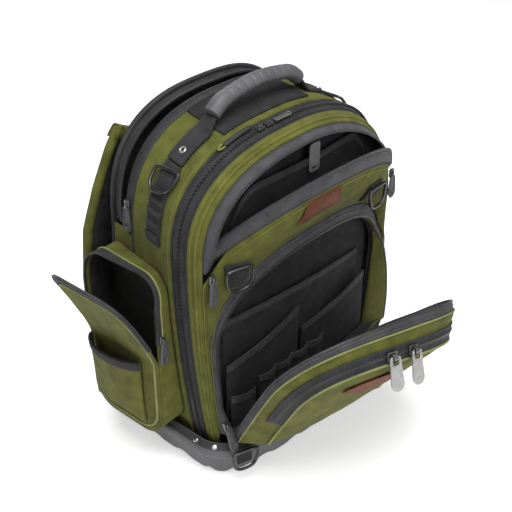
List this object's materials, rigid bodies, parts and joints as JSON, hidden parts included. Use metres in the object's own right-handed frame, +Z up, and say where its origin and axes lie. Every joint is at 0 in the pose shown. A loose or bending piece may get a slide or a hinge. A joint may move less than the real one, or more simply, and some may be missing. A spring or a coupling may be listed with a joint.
{
  "type": "tool backpack",
  "caption": "Boxy olive canvas tool backpack with a moulded rubber base, shown open: laptop compartment, upper pocket, drop-down organiser pocket and a side pocket.",
  "frame": {"origin": "middle of the base's underside, on the floor", "axes": "+Z up, the front faces -Y, +X is to the right seen from the front"},
  "size_m": [0.4513, 0.4184, 0.4789],
  "materials": {
    "olive_canvas": "coarse woven nylon",
    "dark_olive_canvas": "coarse woven nylon",
    "black_fabric": "woven nylon",
    "black_webbing": "ribbed webbing",
    "black_zip": "zip tape and coil",
    "grey_zip_tape": "zip tape and coil",
    "rubber_base": "moulded, matte",
    "rubber_grip": "moulded, matte",
    "grey_plastic": "moulded, matte",
    "tag_grey": "soft moulded, bare",
    "steel": "satin",
    "dark_metal": "black coated",
    "brown_leather": "smooth, bare"
  },
  "bodies": {
    "bag": {"rear_body": "olive_canvas", "front_body": "olive_canvas", "laptop_gusset_left": "olive_canvas", "laptop_gusset_right": "olive_canvas", "front_panel": "olive_canvas", "lower_flap": "olive_canvas", "side_gusset": "olive_canvas", "side_panel": "olive_canvas", "side_pouch": "olive_canvas", "lower_rim": "dark_olive_canvas", "front_wall": "black_fabric", "top_panel": "black_fabric", "laptop_divider": "black_fabric", "back_panel": "black_fabric", "upper_slip_pocket": "black_fabric", "organiser_back": "black_fabric", "organiser_left": "black_fabric", "organiser_right": "black_fabric", "organiser_pens": "black_fabric", "organiser_corner": "black_fabric", "main_pull_cord": "black_fabric", "shoulder_strap_left": "black_fabric", "shoulder_strap_right": "black_fabric", "side_webbing_left": "black_webbing", "side_webbing_right": "black_webbing", "handle_strap_left": "black_webbing", "handle_strap_right": "black_webbing", "front_tab_left": "black_webbing", "front_tab_right": "black_webbing", "low_tab": "black_webbing", "strap_webbing_left": "black_webbing", "strap_webbing_right": "black_webbing", "main_zip": "black_zip", "laptop_zip_front": "black_zip", "laptop_zip_rear": "black_zip", "flap_zip": "black_zip", "upper_zip_body": "grey_zip_tape", "upper_zip_flap": "grey_zip_tape", "lower_zip_body": "grey_zip_tape", "lower_zip_flap": "grey_zip_tape", "base_tub": "rubber_base", "handle_grip": "rubber_grip", "upper_pull_left": "grey_plastic", "upper_pull_right": "grey_plastic", "side_pull": "grey_plastic", "lower_pull": "grey_plastic", "laptop_pull": "grey_plastic", "grey_tag": "tag_grey", "main_pull_tab": "steel", "flap_slider_left": "steel", "flap_slider_right": "steel", "front_ring_left": "dark_metal", "front_ring_right": "dark_metal", "side_ring_left": "dark_metal", "side_ring_right": "dark_metal", "low_ring": "dark_metal", "upper_patch": "brown_leather", "flap_patch": "brown_leather"},
    "steel_pull_left": {"flap_pull_left": "steel"},
    "steel_pull_right": {"flap_pull_right": "steel"}
  },
  "joints": [
    {"name": "steel_pull_left_swing", "type": "hinge", "parent": "bag", "child": "steel_pull_left", "pos_m": [-0.05816, -0.25595, 0.22211], "axis": [-0.939, 0.3429, 0.0276], "range_deg": [-10, 150]},
    {"name": "steel_pull_right_swing", "type": "hinge", "parent": "bag", "child": "steel_pull_right", "pos_m": [-0.02742, -0.26528, 0.21994], "axis": [-0.9645, 0.2319, 0.1264], "range_deg": [-10, 150]}
  ]
}
